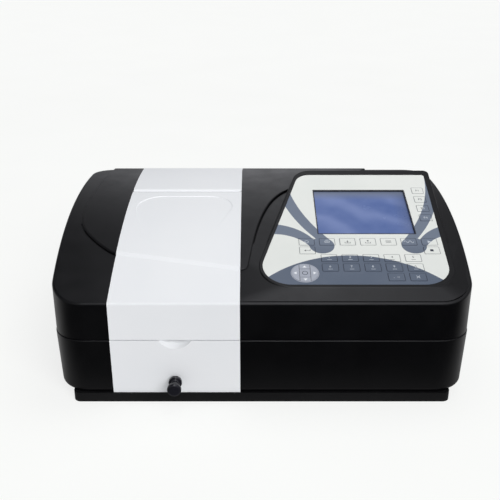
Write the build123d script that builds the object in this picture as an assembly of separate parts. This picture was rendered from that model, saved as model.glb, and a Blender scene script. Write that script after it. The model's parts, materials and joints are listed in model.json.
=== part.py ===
from build123d import *
import os
from math import asin, cos, radians, sin, sqrt, tan

# Single-beam UV-visible bench spectrophotometer, in millimetres, +Z up.
# The operator faces the front, which looks along -Y. The origin is the middle of the box around
# the whole instrument, at the level of its feet. "Depth" is a distance back from the front face.

# ---- outer body ------------------------------------------------------------------------------
DEPTH = 350.0
HALF_WIDTHS = (241.7, 251.2, 248.5)     # at the front, a little ahead of the middle, and at the back
WIDEST_DEPTH = 165.0
KNOB_REACH = 22.0            # how far the pull knob stands out of the front face
LOWER_PROUD = 0.6            # the lower housing stands out this far past the upper cover
SOCKET_FLANGE = 2.6          # flange of the mains inlet, outside the rear wall
FRONT_Y = -(DEPTH + LOWER_PROUD + SOCKET_FLANGE - KNOB_REACH) / 2
BACK_Y = FRONT_Y + DEPTH
FRONT_CORNER_R = 40.0
REAR_CORNER_R = 32.0
WALL = 3.0
PAN_TOP_Z = 12.4             # top of the base pan
HOUSING_BOTTOM_Z = PAN_TOP_Z + 0.2
FLOOR_Z = PAN_TOP_Z + 0.1    # where the inner pieces stand
PARTING_Z = 83.6             # joint between the lower housing and the upper cover
PARTING_GAP = 0.4            # half of the gap at that joint
FRONT_EDGE_Z = 130.0         # where the front face turns into the domed top
EDGE_R = 3.0                 # rounding of the top's rim
DRAFT = 2.0                  # degrees that the lower housing's walls lean in

# ---- domed top: a cylinder lying along X -----------------------------------------------------
CREST_DEPTH = 290.0
CREST_Z = 190.4
CREST_RISE = CREST_Z - FRONT_EDGE_Z
DOME_R = (CREST_DEPTH**2 + CREST_RISE**2) / (2 * CREST_RISE)
DOME_Y = FRONT_Y + CREST_DEPTH
DOME_Z = CREST_Z - DOME_R
PLATEAU = 2.3                # the middle of the top stands up by this much
GROOVE_WIDTH, GROOVE_DEEP = 1.3, 1.1

# ---- white strip: front panel, lid and rear trim ---------------------------------------------
STRIP_LEFT, STRIP_RIGHT = -176.3, -25.1      # sides of the opening in the black housings
STRIP_X = (STRIP_LEFT + STRIP_RIGHT) / 2
STRIP_GAP = 0.4
SKIN = 2.5                   # wall of the lid
PANEL_ROOM = 8.0             # depth of the lower housing's opening for the front panel

# ---- lid hinge, along X: its barrel is tangent to the raised top -----------------------------
BARREL_R = 6.5
HINGE_DEPTH = 227.3
HINGE_RADIUS = DOME_R + PLATEAU - BARREL_R
HINGE_LEAN = asin((CREST_DEPTH - HINGE_DEPTH) / HINGE_RADIUS)
HINGE_Y = FRONT_Y + HINGE_DEPTH
HINGE_Z = DOME_Z + HINGE_RADIUS * cos(HINGE_LEAN)
HINGE_ROD_R = 2.0
TRIM_FRONT = HINGE_DEPTH + BARREL_R + 0.8        # depth of the rear trim's front edge
TRIM_ROLL = 5.0              # the trim's front edge is rolled down with this radius
SHELF_FRONT = TRIM_FRONT + TRIM_ROLL + 0.4       # the cover's shelf under the trim begins here

# ---- console: a plane that rises to the back, on the right of the top ------------------------
CONSOLE_TILT = 16.9
CONSOLE_DEPTH = 23.5
CONSOLE_Z = 144.2
CONSOLE = Plane(
    origin=(0, FRONT_Y + CONSOLE_DEPTH, CONSOLE_Z),
    x_dir=(1, 0, 0),
    z_dir=(0, -sin(radians(CONSOLE_TILT)), cos(radians(CONSOLE_TILT))),
)
BROW_DEPTH = 19.5            # the brow meets the console just ahead of the keypad
BROW_LEFT, BROW_RIGHT = -34.0, 243.0
BROW_HIP_LEFT, BROW_HIP_RIGHT = 60.0, 30.0       # how far in the sloping ends reach
BROW_SOFT_R = 60.0           # rounding of the hips
SKIRT_FLARE = 18.0           # degrees that the console's sides lean out
RIM_R = 2.5
OVERLAY_RECESS = 2.2
OVERLAY_THICK = 1.8
DISPLAY_X, DISPLAY_T = 132.2, 143.0     # centre of the display window on the console
DISPLAY_W, DISPLAY_H = 121.6, 96.0

# ---- keys: membrane pads in pockets of the overlay -------------------------------------------
KEY_W, KEY_H = 19.3, 14.0
KEY_THICK = 1.5
KEY_TRAVEL = 0.4
KEY_FLOAT = KEY_TRAVEL + 0.1            # space under a key
KEY_CLEAR = 0.2
KEY_COLUMNS = [55.8 + 25.2 * i for i in range(7)]
FUNCTION_X = 211.8
FUNCTION_W = 15.6
KEY_PLACES = {
    "key_f1": (FUNCTION_X, 189.8),
    "key_f2": (FUNCTION_X, 169.3),
    "key_f3": (FUNCTION_X, 148.8),
    "key_f4": (FUNCTION_X, 128.3),
    "key_zero": (KEY_COLUMNS[0], 78.5),
    "key_print": (KEY_COLUMNS[1], 78.5),
    "key_load": (KEY_COLUMNS[2], 78.5),
    "key_save": (KEY_COLUMNS[3], 78.5),
    "key_set": (KEY_COLUMNS[4], 78.5),
    "key_mode": (KEY_COLUMNS[5], 78.5),
    "key_start": (KEY_COLUMNS[6], 78.5),
    "key_enter": (KEY_COLUMNS[0], 61.6),
    "key_stop": (KEY_COLUMNS[6], 61.6),
    "key_1": (KEY_COLUMNS[1], 47.0),
    "key_2": (KEY_COLUMNS[2], 47.0),
    "key_3": (KEY_COLUMNS[3], 47.0),
    "key_4": (KEY_COLUMNS[4], 47.0),
    "key_5": (KEY_COLUMNS[5], 47.0),
    "key_6": (KEY_COLUMNS[1], 29.5),
    "key_7": (KEY_COLUMNS[2], 29.5),
    "key_8": (KEY_COLUMNS[3], 29.5),
    "key_9": (KEY_COLUMNS[4], 29.5),
    "key_0": (KEY_COLUMNS[5], 29.5),
    "key_sign": (KEY_COLUMNS[4], 12.4),
    "key_clear": (KEY_COLUMNS[5], 12.4),
}
DIAL_X, DIAL_T = 50.4, 19.5            # centre of the round cursor pad
DIAL_R = 15.6
DIAL_HALF_COLUMN = 6.4
DIAL_HALF_CENTRE = 7.3
DIAL_GAP = 0.5

# ---- sample chamber, cell changer and beam ---------------------------------------------------
CHAMBER_X = -101.6           # middle of the chamber, the carriage and the pull knob
CHAMBER_WIDTH = 137.0
CHAMBER_FRONT, CHAMBER_REAR = 15.5, 203.0      # depths
CHAMBER_WALL = 2.5
CHAMBER_TOP_DROP = 14.0      # the walls end this far under the domed top
CHAMBER_FRONT_Z = 80.0
SEAL_THICK = 2.5
BEAM_DEPTH = 115.0
BEAM_Z = 49.0
WINDOW_R = 7.0
CELL_PITCH = 18.0
CELL_COUNT = 4
CELL_SLOT = 12.7
CELL_FLOOR_Z = 34.0
CARRIAGE_W = 56.0
CARRIAGE_END = 12.0          # block past the first and last cell centre
CARRIAGE_Z = (22.0, 64.0)
RAIL_R = 3.0
RAIL_SPREAD = 20.0
RAIL_Z = 28.0
ROD_R = 2.0
ROD_Z = 29.4
KNOB_LENGTH = 21.0
ROD_SINK = 4.5               # how far the rod enters the carriage
RUNNING = 0.05
SEATED = 0.02

# ---- rear wall: fan, mains inlet and data ports ----------------------------------------------
FAN_X, FAN_Z = 175.0, 50.0
FAN_SIZE, FAN_THICK = 60.0, 20.0
FAN_FRONT = DEPTH - 27.0     # depth of the fan's inner face
FAN_HUB_R, FAN_BLADE_R = 11.0, 27.0
FAN_BLADES = 7
INLET_X, INLET_Z = -190.0, 47.0
INLET_W, INLET_H = 27.6, 47.6
SWITCH_Z = INLET_Z + 14.0
SOCKET_Z = INLET_Z - 8.5
SWITCH_W, SWITCH_H = 18.0, 11.0
SWITCH_TILT = 10.0
SWITCH_PIN_R = 1.2
SWITCH_PIVOT_DEPTH = DEPTH + LOWER_PROUD - 4.0
PORTS_Z = 47.0
SERIAL_X, USB_X = -105.0, -60.0

FOOT_R = 12.0
FOOT_X, FOOT_DEPTHS = 190.0, (38.0, 312.0)
PAN_HALF_WIDTH = 224.5
PAN_INSET = 0.4
PAN_CORNER_R = 9.0
SKIRT_Z = 0.6
SCREW_X = (-205.0, 0.0, 205.0)
SCREW_DEPTHS = (10.0, 340.0)
SCREW_R = 2.0

MONO_BOX = ((-19.0, 112.0), (62.0, 222.0), (FLOOR_Z, 96.0))      # x, depth and z ranges
TURRET_X, TURRET_DEPTH = 36.0, 140.0
LAMP_BOX = ((122.0, 212.0), (196.0, 300.0), (FLOOR_Z, 98.0))


def yd(depth):
    """Y of a depth behind the front face."""
    return FRONT_Y + depth


def block(xs, depths, zs):
    """A box from its ranges in x, depth and z."""
    size = [hi - lo for lo, hi in (xs, depths, zs)]
    middle = [(lo + hi) / 2 for lo, hi in (xs, depths, zs)]
    return Pos(middle[0], yd(middle[1]), middle[2]) * Box(*size)


def rod_x(radius, x_low, x_high, y, z):
    """A round bar along X."""
    return Pos((x_low + x_high) / 2, y, z) * Rot(0, 90, 0) * Cylinder(radius, x_high - x_low)


def rod_y(radius, depth_low, depth_high, x, z):
    """A round bar along Y."""
    middle = yd((depth_low + depth_high) / 2)
    return Pos(x, middle, z) * Rot(90, 0, 0) * Cylinder(radius, depth_high - depth_low)


def dome(offset=0.0):
    """Everything under the domed top, moved out by offset."""
    reach = 2 * HALF_WIDTHS[1]
    return rod_x(DOME_R + offset, -reach, reach, DOME_Y, DOME_Z)


def dome_z(depth, offset=0.0):
    """Height of the domed top at a depth."""
    return DOME_Z + sqrt((DOME_R + offset) ** 2 - (depth - CREST_DEPTH) ** 2)


def body_plan(grow=0.0):
    """The outline of the body seen from above, at z 0: bowed sides and rounded corners."""
    front, middle, back = [half + grow for half in HALF_WIDTHS]
    y_front, y_back = FRONT_Y - grow, BACK_Y + grow
    right = ThreePointArc((front, y_front), (middle, yd(WIDEST_DEPTH)), (back, y_back))
    left = ThreePointArc((-back, y_back), (-middle, yd(WIDEST_DEPTH)), (-front, y_front))
    ends = [Line(right @ 1, left @ 0), Line(left @ 1, right @ 0)]
    outline = make_face(Wire([right, ends[0], left, ends[1]]))
    outline = fillet(outline.vertices().group_by(Axis.Y)[0], FRONT_CORNER_R + grow)
    return fillet(outline.vertices().group_by(Axis.Y)[-1], REAR_CORNER_R + grow)


def strip_zone(depths, zs, gap=0.0):
    """The column of space that the white strip takes, less a gap at each side."""
    return block((STRIP_LEFT + gap, STRIP_RIGHT - gap), depths, zs)


# ---- the raised middle of the top ------------------------------------------------------------
def plateau_outline(grow=0.0):
    """Seen from above: a blunt nose across the lid and a long flank beside the console."""
    # each point of the outline is followed by the direction that it grows in
    rim = [
        ((-220, 360), (-1, 0)), ((-231, 210), (-1, 0)), ((-224, 128), (-0.95, -0.3)),
        ((-203, 99), (-0.7, -0.7)), ((-176, 76), (-0.5, -0.85)), ((-133, 63.5), (-0.2, -1)),
        ((-60, 52.8), (-0.1, -1)), ((-27, 48.8), (-0.1, -1)), ((-18, 51), (0.6, -0.8)),
        ((-14.8, 59.5), (1, -0.1)), ((-9, 100), (1, -0.15)), ((7, 175), (0.95, -0.3)),
        ((36, 234), (0.8, -0.6)), ((110, 285), (0.6, -0.8)), ((168, 360), (0.9, -0.4)),
    ]
    points = [(x + grow * out_x, yd(depth + grow * out_depth)) for (x, depth), (out_x, out_depth) in rim]
    flank = Spline(*points, tangents=[(-0.1, -1), (0.4, 1)])
    return make_face(Wire([flank, Line(flank @ 1, flank @ 0)]))


def plateau_groove():
    """A narrow groove round the nose and along the flank beside the console."""
    ring = plateau_outline(GROOVE_WIDTH + 0.2) - plateau_outline(0.2)
    band = Pos(0, 0, 100) * extrude(ring, 150) - dome(-GROOVE_DEEP)
    left = block((-240, STRIP_LEFT), (60, 140), (100, 250))
    right = block((STRIP_RIGHT, 45), (40, 240), (100, 250))
    return band & (left + right)


def plateau():
    """The raised skin, with a rounded shoulder."""
    prism = Pos(0, 0, 100) * extrude(plateau_outline(), 150)
    raised = prism & dome(PLATEAU)
    shoulder = raised.faces().sort_by(Axis.Z)[-1].edges().filter_by(lambda e: e.center().Y < BACK_Y)
    return fillet(shoulder, PLATEAU - 0.4)


def body_under_dome(offset=0.0, bottom_z=PARTING_Z + PARTING_GAP):
    """The rounded body from bottom_z up to the domed top."""
    return Pos(0, 0, bottom_z) * extrude(body_plan(), 200) & dome(offset)


# ---- console outlines, in the console's own plane --------------------------------------------
def console_outline(left, low, right, high, corner_radii):
    """Four sides, the left one leaning right as it rises; radii run from low left, anticlockwise."""
    lean = 0.272
    corners = [(left, low), (right, low), (right + 0.03 * (high - low), high),
               (left + lean * (high - low), high)]
    sketch = make_face(Polyline(*corners, close=True))
    for (x, t), radius in zip(corners, corner_radii):
        nearest = sketch.vertices().sort_by_distance((x, t, 0))[0]
        sketch = fillet(nearest, radius)
    return sketch


def overlay_outline(grow=0.0):
    return console_outline(-9.5 - grow, -1.0 - grow, 220.2 + grow, 228.5 + grow, (34, 34, 4, 20))


def bezel_outline(shrink=0.0):
    """The console's rim, a little outside the keypad."""
    return console_outline(
        -16.0 + shrink, -6.5 + shrink, 227.5 - shrink, 240.5 - shrink,
        (39 - shrink, 39 - shrink, 7 - shrink / 2, 24 - shrink),
    )


def under_plane(a, b, c):
    """Everything under the plane through three points, each given as x, depth and z."""
    a, b, c = [Vector(x, yd(depth), z) for x, depth, z in (a, b, c)]
    along = (b - a).normalized()
    normal = along.cross(c - a).normalized()
    normal = normal if normal.Z > 0 else -normal
    return Plane(origin=a, x_dir=along, z_dir=normal) * Pos(0, 0, -200) * Box(900, 900, 400)


def brow():
    """The low hipped slope between the keypad's front and the body's front edge."""
    edge = FRONT_EDGE_Z
    crown = (BROW_DEPTH, CONSOLE_Z - 1.2)
    back = (60, dome_z(60))
    hips = [
        under_plane((0, 0, edge), (100, 0, edge), (0, *crown)),
        under_plane((BROW_LEFT, 0, edge), (BROW_LEFT, *back), (BROW_LEFT + BROW_HIP_LEFT, *crown)),
        under_plane((BROW_RIGHT, 0, edge), (BROW_RIGHT, *back), (BROW_RIGHT - BROW_HIP_RIGHT, *crown)),
        CONSOLE * Pos(0, 0, -200.3) * Box(900, 900, 400),
    ]
    slab = block((BROW_LEFT, BROW_RIGHT), (1, 95), (100, 220))
    for hip in hips:
        slab &= hip
    slanting = slab.edges().filter_by(lambda e: abs(e.tangent_at(0).X * e.tangent_at(0).Y) > 0.1)
    slab = fillet(slanting, BROW_SOFT_R)
    return slab & Pos(0, 0, 90) * extrude(body_plan(-EDGE_R), 200)


def console_body(lowered, depth_under):
    """The wedge that carries the console, its sides flaring down, with its top lowered."""
    return CONSOLE * Pos(0, 0, -lowered) * extrude(
        bezel_outline(lowered * 0.6), amount=-depth_under, taper=-SKIRT_FLARE)


def on_console(x, t, h, shape):
    """Places a shape on the console, at height h over its plane."""
    return CONSOLE * Pos(x, t, h) * shape


def key_pad(name, grow=0.0, thick=KEY_THICK):
    """One rectangular key, or with grow the pocket that it moves in, its foot at height 0."""
    width = FUNCTION_W if name.startswith("key_f") else KEY_W
    outline = RectangleRounded(width + 2 * grow, KEY_H + 2 * grow, 1.2 + grow)
    return extrude(outline, thick)


def dial_pad(name):
    """One of the five keys of the round cursor pad, at the pad's centre, its foot at height 0."""
    disc = Circle(DIAL_R)
    far = 2 * DIAL_R
    column = Rectangle(2 * DIAL_HALF_COLUMN - DIAL_GAP, far)
    side_x = DIAL_HALF_COLUMN + DIAL_GAP / 2 + far / 2
    side_t = DIAL_HALF_CENTRE + DIAL_GAP / 2 + far / 2
    shapes = {
        "key_left": disc & Pos(-side_x, 0) * Rectangle(far, far),
        "key_right": disc & Pos(side_x, 0) * Rectangle(far, far),
        "key_up": disc & column & Pos(0, side_t) * Rectangle(far, far),
        "key_down": disc & column & Pos(0, -side_t) * Rectangle(far, far),
        "key_ok": column & Rectangle(far, 2 * DIAL_HALF_CENTRE - DIAL_GAP),
    }
    return extrude(shapes[name], KEY_THICK)


DIAL_KEYS = ("key_up", "key_down", "key_left", "key_right", "key_ok")
KEY_FOOT = KEY_FLOAT - OVERLAY_RECESS    # height of a key's foot over the console's plane


# ---- housings --------------------------------------------------------------------------------
def upper_cover():
    """Black top shell with the console moulded on, and a channel for the white strip."""
    outer = body_under_dome()
    rim = outer.faces().sort_by(Axis.Z)[-1].edges()
    outer = fillet(rim, EDGE_R)
    outer += plateau() & (Pos(0, 0, 90) * extrude(body_plan(-EDGE_R), 200))
    outer -= plateau_groove()
    wedge = console_body(0, 40)
    rim = wedge.faces().sort_by_distance(CONSOLE.from_local_coords((100, 100, 0)))[0].edges()
    outer += brow()
    outer += fillet(rim, RIM_R) & Pos(0, 0, PARTING_Z + PARTING_GAP) * extrude(body_plan(-0.3), 200)
    inner = Pos(0, 0, 70) * extrude(body_plan(-WALL), 200) & dome(-WALL)
    inner += console_body(OVERLAY_RECESS + WALL, 40)
    cover = outer - inner
    cover -= CONSOLE * Pos(0, 0, -OVERLAY_RECESS) * extrude(overlay_outline(0.3), 10)
    cover -= on_console(DISPLAY_X, DISPLAY_T, 0, Box(DISPLAY_W + 4, DISPLAY_H + 4, 40))

    channel = strip_zone((-5, SHELF_FRONT), (60, 250))
    cover -= channel
    cover -= strip_zone((HINGE_DEPTH, DEPTH + 5), (60, 250)) - dome(-0.2)
    shelf = block((STRIP_LEFT - 4, STRIP_RIGHT + 4), (SHELF_FRONT, DEPTH - WALL), (100, 250))
    cover += shelf & (dome(-0.2) - dome(-0.2 - WALL))
    for x in (STRIP_LEFT - 4.5, STRIP_RIGHT + 4.5):
        ear = block((x - 3.5, x + 3.5), (HINGE_DEPTH - 9, HINGE_DEPTH + 9), (HINGE_Z - 8, HINGE_Z + 4.5))
        cover = cover + ear - rod_x(HINGE_ROD_R + SEATED, x - 5, x + 5, HINGE_Y, HINGE_Z)
    return cover


def lower_shell(grow):
    """The lower housing's outer form, or with a negative grow its inside."""
    top_z = PARTING_Z - PARTING_GAP
    lean = (top_z - HOUSING_BOTTOM_Z) * tan(radians(DRAFT))
    top = Pos(0, 0, top_z) * body_plan(LOWER_PROUD + grow)
    bottom = Pos(0, 0, HOUSING_BOTTOM_Z) * body_plan(LOWER_PROUD + grow - lean)
    return loft([bottom, top])


def lower_housing():
    """Black lower shell, open above, with the rear wall's cut-outs."""
    outer = lower_shell(0)
    outer = fillet(outer.faces().sort_by(Axis.Z)[0].edges(), 6)
    outer = fillet(outer.faces().sort_by(Axis.Z)[-1].edges(), 1.2)
    everything = block((-300, 300), (-20, DEPTH + 20), (HOUSING_BOTTOM_Z + WALL, 90))
    shell = outer - (lower_shell(-WALL) & everything)
    shell -= block((-214, 214), (15.2, DEPTH - 15.2), (0, 40))
    shell -= strip_zone((-5, PANEL_ROOM), (0, 90))

    through = (DEPTH - WALL - 4, DEPTH + 5)
    slot_pitch = 7.0
    for i in range(-3, 4):
        reach = sqrt(27.0**2 - (i * slot_pitch) ** 2)
        z = FAN_Z + i * slot_pitch
        shell -= block((FAN_X - reach, FAN_X + reach), through, (z - 1.8, z + 1.8))
    shell -= block((INLET_X - INLET_W / 2, INLET_X + INLET_W / 2), through,
                   (INLET_Z - INLET_H / 2, INLET_Z + INLET_H / 2))
    shell -= block((SERIAL_X - 10.2, SERIAL_X + 10.2), through, (PORTS_Z - 5.7, PORTS_Z + 5.7))
    shell -= block((USB_X - 6.2, USB_X + 6.2), through, (PORTS_Z - 5.7, PORTS_Z + 5.7))
    for x, depth in screw_places():
        shell -= Pos(x, yd(depth), HOUSING_BOTTOM_Z) * Cylinder(SCREW_R + SEATED, 20)
    for x in (FAN_X - 25, FAN_X + 25):
        for z in (FAN_Z - 25, FAN_Z + 25):
            shell += rod_y(3.5, FAN_FRONT + FAN_THICK, DEPTH - 1, x, z)
    return shell


def screw_places():
    return [(x, depth) for x in SCREW_X for depth in SCREW_DEPTHS]


def base_pan():
    """Folded steel tray, open below, that carries the feet."""
    y_range = (PAN_INSET, DEPTH - PAN_INSET)
    sheet = 2.0
    tray = block((-PAN_HALF_WIDTH, PAN_HALF_WIDTH), y_range, (SKIRT_Z, PAN_TOP_Z))
    tray = fillet(tray.edges().filter_by(Axis.Z), PAN_CORNER_R)
    hollow = (y_range[0] + sheet, y_range[1] - sheet)
    reach = PAN_HALF_WIDTH - sheet
    inside = block((-reach, reach), hollow, (0, PAN_TOP_Z - sheet))
    tray -= fillet(inside.edges().filter_by(Axis.Z), PAN_CORNER_R - sheet)
    for x, depth in screw_places():
        tray -= Pos(x, yd(depth), PAN_TOP_Z) * Cylinder(SCREW_R + 0.3, 20)
    return tray


def housing_screws():
    """Six pan-head screws driven up through the pan into the lower housing."""
    head_top = PAN_TOP_Z - 2.0 - 0.05
    screws = []
    for x, depth in screw_places():
        head = Pos(0, 0, head_top - 1.2) * Cylinder(4.0, 2.4)
        cross = Pos(0, 0, head_top - 2.4) * (Box(4.4, 0.9, 1.6) + Box(0.9, 4.4, 1.6))
        shaft = Pos(0, 0, head_top + 2.4) * Cylinder(SCREW_R, 4.8)
        screws.append(Pos(x, yd(depth), 0) * (head - cross + shaft))
    return Compound(children=screws)


def rubber_feet():
    """Four round feet under the pan."""
    foot = Pos(0, 0, (PAN_TOP_Z - 2.1) / 2) * Cylinder(FOOT_R, PAN_TOP_Z - 2.1)
    foot = fillet(foot.faces().sort_by(Axis.Z)[0].edges(), 1.0)
    return Compound(children=[
        Pos(x, yd(depth), 0) * foot for x in (-FOOT_X, FOOT_X) for depth in FOOT_DEPTHS
    ])


# ---- white strip -----------------------------------------------------------------------------
SCOOP_Z = 92.9               # centre of the round thumb scoop
SCOOP_AHEAD = 17.0
SCOOP_R = 26.8


def front_panel():
    """White plate below the lid, with a thumb scoop and the pull rod's hole."""
    depths = (-5, PANEL_ROOM - 0.4)
    plate = (lower_shell(0) - lower_shell(-WALL)) & strip_zone(depths, (HOUSING_BOTTOM_Z, 90), STRIP_GAP)
    centre = Pos(STRIP_X, yd(-SCOOP_AHEAD), SCOOP_Z)
    cup = centre * Sphere(SCOOP_R + SKIN) & strip_zone((1.0, 13), (40, PARTING_Z - PARTING_GAP), STRIP_GAP)
    plate = plate + cup - centre * Sphere(SCOOP_R)
    return plate - rod_y(ROD_R + 1.0, -10, 20, CHAMBER_X, ROD_Z)


def ramp_plane():
    """The sloping cut that joins the lid's low front to its raised part."""
    left, right = (STRIP_LEFT, 76.0), (STRIP_RIGHT, 48.5)
    a = Vector(left[0], yd(left[1]), dome_z(left[1]))
    b = Vector(right[0], yd(right[1]), dome_z(right[1]))
    along = (b - a).normalized()
    rise = 40.0
    uphill = Vector(0, cos(radians(rise)), sin(radians(rise)))
    normal = along.cross(uphill)
    return Plane(origin=(a + b) / 2, x_dir=along, z_dir=normal)


def lid_skin():
    """The lid's outer form, still solid, up to the hinge axis."""
    zone = strip_zone((0, HINGE_DEPTH), (PARTING_Z + PARTING_GAP, 250), STRIP_GAP)
    low = zone & dome()
    front_edge = low.edges().filter_by(Axis.X).sort_by(
        lambda e: abs(e.center().Y - FRONT_Y) + abs(e.center().Z - FRONT_EDGE_Z))[0]
    low = fillet(front_edge, EDGE_R)
    under_ramp = ramp_plane() * Pos(0, 0, -200) * Box(600, 900, 400)
    raised = zone & dome(PLATEAU) & under_ramp
    return low + raised


DISH_DEEP = 0.9              # the dish's depth at its rear edge
DISH_DEPTHS = (92.0, 216.0)  # it runs out at the front
DISH_DEPTH = 157.0           # depth of the dish's middle
DISH_CORNERS = [(-70, 58), (76, 58), (31, -66), (-37, -66)]
DISH_RADII = (34, 30, 20, 20)


def dish_outline(grow):
    """The dish's outline, wide at the rear, in the plane that touches the lid at its middle."""
    outline = make_face(Polyline(*DISH_CORNERS, close=True))
    for (x, t), radius in zip(DISH_CORNERS, DISH_RADII):
        nearest = outline.vertices().sort_by_distance((x, t, 0))[0]
        outline = fillet(nearest, radius)
    return offset(outline, amount=grow)


def dish_floor():
    """The domed top tipped so that it sinks at the rear and comes back up at the front."""
    shallow, deep = [sin(asin((CREST_DEPTH - depth) / DOME_R)) for depth in DISH_DEPTHS]
    shift = DISH_DEEP / (deep - shallow)
    return Pos(0, shift, shift * shallow) * dome(PLATEAU)


def dish_cutter():
    """A shallow dish in the lid, with sloping walls."""
    lean = asin((CREST_DEPTH - DISH_DEPTH) / DOME_R)
    seat = Plane(origin=(STRIP_X - 2.0, yd(DISH_DEPTH), dome_z(DISH_DEPTH, PLATEAU)), x_dir=(1, 0, 0),
                 z_dir=(0, -sin(lean), cos(lean)))
    walls = loft([Pos(0, 0, -8) * dish_outline(-7), Pos(0, 0, 5) * dish_outline(9)])
    return seat * walls - dish_floor()


def sample_lid():
    """White hinged lid: domed top, front wall, ribs over the seal and a barrel at the rear."""
    inner = strip_zone((WALL, HINGE_DEPTH), (60, 250), STRIP_GAP + SKIN) & dome(-SKIN)
    lid = lid_skin() - inner - dish_cutter()
    half = CHAMBER_WIDTH / 2
    rib_zone = dome(-1.0) - dome(-CHAMBER_TOP_DROP + SEAL_THICK + 0.4)
    ring = block((CHAMBER_X - half, CHAMBER_X + half), (CHAMBER_FRONT + 6, CHAMBER_REAR), (100, 250))
    ring -= block((CHAMBER_X - half + SKIN, CHAMBER_X + half - SKIN), (0, CHAMBER_REAR - SKIN), (90, 260))
    lid += ring & rib_zone

    x_low, x_high = STRIP_LEFT + STRIP_GAP, STRIP_RIGHT - STRIP_GAP
    lid -= rod_x(BARREL_R - 0.01, x_low - 1, x_high + 1, HINGE_Y, HINGE_Z)
    barrel = rod_x(BARREL_R, x_low, x_high, HINGE_Y, HINGE_Z)
    barrel -= rod_x(BARREL_R - SKIN, x_low + 10, x_high - 10, HINGE_Y, HINGE_Z)
    under_barrel = block((x_low + 10, x_high - 10), (HINGE_DEPTH - 20, HINGE_DEPTH + 20), (0, HINGE_Z - 2))
    lid += barrel - under_barrel
    return lid - rod_x(HINGE_ROD_R + RUNNING, x_low - 5, x_high + 5, HINGE_Y, HINGE_Z)


def rear_trim():
    """White strip behind the lid, its front edge rolled down ahead of the cover's shelf."""
    zone = strip_zone((TRIM_FRONT, DEPTH), (HINGE_Z - 2, 250), STRIP_GAP)
    trim = zone & dome(PLATEAU) & (Pos(0, 0, 90) * extrude(body_plan(), 200))
    across = trim.edges().filter_by(Axis.X).sort_by(Axis.Y)
    front = across.filter_by(lambda e: e.center().Y < yd(TRIM_FRONT + 1)).sort_by(Axis.Z)[-1]
    trim = fillet(front, TRIM_ROLL)
    back = trim.edges().filter_by(Axis.X).filter_by(lambda e: e.center().Y > BACK_Y - 1).sort_by(Axis.Z)[-1]
    trim = fillet(back, 2.3)
    return trim - (dome(-0.1) & strip_zone((TRIM_FRONT + TRIM_ROLL, DEPTH + 5), (0, 250)))


# ---- hinge and sample chamber ----------------------------------------------------------------
def hinge_rod():
    """Steel rod through the cover's ears and the lid's barrel."""
    return rod_x(HINGE_ROD_R, STRIP_LEFT - 7.5, STRIP_RIGHT + 7.5, HINGE_Y, HINGE_Z)


def sample_chamber():
    """Black box, open above, with holes for the beam, the rails and the pull rod."""
    half = CHAMBER_WIDTH / 2
    walls = block((CHAMBER_X - half, CHAMBER_X + half), (CHAMBER_FRONT, CHAMBER_REAR), (FLOOR_Z, 250))
    walls -= block(
        (CHAMBER_X - half + CHAMBER_WALL, CHAMBER_X + half - CHAMBER_WALL),
        (CHAMBER_FRONT + CHAMBER_WALL, CHAMBER_REAR - CHAMBER_WALL),
        (FLOOR_Z + CHAMBER_WALL, 260),
    )
    walls &= dome(-CHAMBER_TOP_DROP)
    walls -= block(
        (CHAMBER_X - half + CHAMBER_WALL, CHAMBER_X + half - CHAMBER_WALL),
        (CHAMBER_FRONT - 5, CHAMBER_FRONT + 10), (CHAMBER_FRONT_Z, 250),
    )
    walls -= rod_x(WINDOW_R + SEATED, CHAMBER_X - 100, CHAMBER_X + 100, yd(BEAM_DEPTH), BEAM_Z)
    walls -= rod_y(ROD_R + RUNNING, 0, 40, CHAMBER_X, ROD_Z)
    for x in rail_places():
        walls -= rod_y(RAIL_R + SEATED, 0, 220, x, RAIL_Z)
    return walls


def chamber_seal():
    """Rubber strip along the top of the chamber's side and rear walls."""
    half = CHAMBER_WIDTH / 2
    strip = block((CHAMBER_X - half, CHAMBER_X + half), (CHAMBER_FRONT + 6, CHAMBER_REAR), (90, 250))
    strip -= block((CHAMBER_X - half + CHAMBER_WALL, CHAMBER_X + half - CHAMBER_WALL),
                   (0, CHAMBER_REAR - CHAMBER_WALL), (80, 260))
    return strip & (dome(-CHAMBER_TOP_DROP + SEAL_THICK) - dome(-CHAMBER_TOP_DROP + 0.05))


def rail_places():
    return (CHAMBER_X - RAIL_SPREAD, CHAMBER_X + RAIL_SPREAD)


def carriage_rails():
    """Two ground rods that the cell carriage slides on."""
    return Compound(children=[
        rod_y(RAIL_R, CHAMBER_FRONT, CHAMBER_REAR, x, RAIL_Z) for x in rail_places()
    ])


def cell_depths():
    return [BEAM_DEPTH + i * CELL_PITCH for i in range(CELL_COUNT)]


def cell_carriage():
    """Block with a square slot for each cell and an aperture for the beam through each."""
    half = CARRIAGE_W / 2
    first, last = cell_depths()[0], cell_depths()[-1]
    ends = (first - CARRIAGE_END, last + CARRIAGE_END)
    body = block((CHAMBER_X - half, CHAMBER_X + half), ends, CARRIAGE_Z)
    body = fillet(body.edges().filter_by(Axis.Z), 3)
    for depth in cell_depths():
        reach = CELL_SLOT / 2
        body -= block((CHAMBER_X - reach, CHAMBER_X + reach), (depth - reach, depth + reach),
                      (CELL_FLOOR_Z, 80))
        body -= block((CHAMBER_X - 40, CHAMBER_X + 40), (depth - 2.5, depth + 2.5), (BEAM_Z - 7, BEAM_Z + 7))
    for x in rail_places():
        body -= rod_y(RAIL_R + RUNNING, 50, 250, x, RAIL_Z)
    face = first - CARRIAGE_END
    return body - rod_y(ROD_R + SEATED, face - 5, face + ROD_SINK + 0.2, CHAMBER_X, ROD_Z)


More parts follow.
